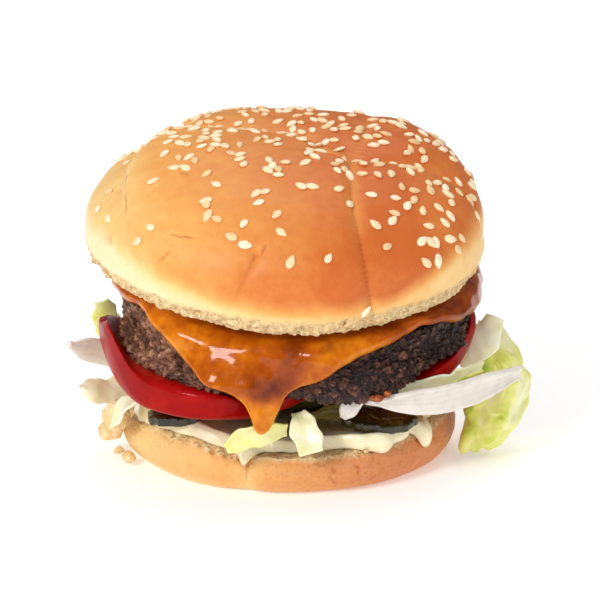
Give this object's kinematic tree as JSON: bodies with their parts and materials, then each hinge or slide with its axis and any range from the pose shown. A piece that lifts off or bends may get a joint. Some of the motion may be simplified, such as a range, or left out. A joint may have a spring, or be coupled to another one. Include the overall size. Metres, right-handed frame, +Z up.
{
  "type": "cheeseburger",
  "caption": "Cheeseburger on a folded sesame roll, with melted cheese, a beef patty, tomato, onion, pickle, lettuce and mayonnaise.",
  "frame": {"origin": "middle of the flat base of the lower bun", "axes": "+Z up from the base, -Y towards the eater, where the long drip of cheese hangs, +X to the right, where the lettuce leaf hangs out"},
  "size_m": [0.1206, 0.1047, 0.0877],
  "materials": {
    "crust": "golden brown baked crust, satin, paler and porous at the cut edge",
    "sauce": "thick glossy cream sauce",
    "lettuce": "fresh leaf, slightly glossy and translucent",
    "pickle": "wet dark green",
    "tomato": "wet and glossy",
    "onion": "moist, translucent white",
    "patty": "coarse browned ground beef with glossy fat",
    "cheese": "melted and glossy",
    "crumb": "torn bread, matt and porous"
  },
  "bodies": {
    "root": {"bun_heel": "crust", "mayonnaise": "sauce", "lettuce_bed": "lettuce", "tomato_left": "tomato", "tomato_right": "tomato", "beef_patty": "patty", "cheese": "cheese", "bun_crown": "crust", "lettuce_leaf_right": "lettuce", "onion_front_right": "onion", "onion_front": "onion", "onion_left": "onion", "onion_right": "onion", "lettuce_shred_front": "lettuce", "lettuce_piece_front": "lettuce", "lettuce_left_upper": "lettuce", "lettuce_left_lower": "lettuce", "pickle_left": "pickle", "pickle_right": "pickle", "crumb_left_upper": "crumb", "crumb_left_lower": "crumb"}
  },
  "joints": []
}
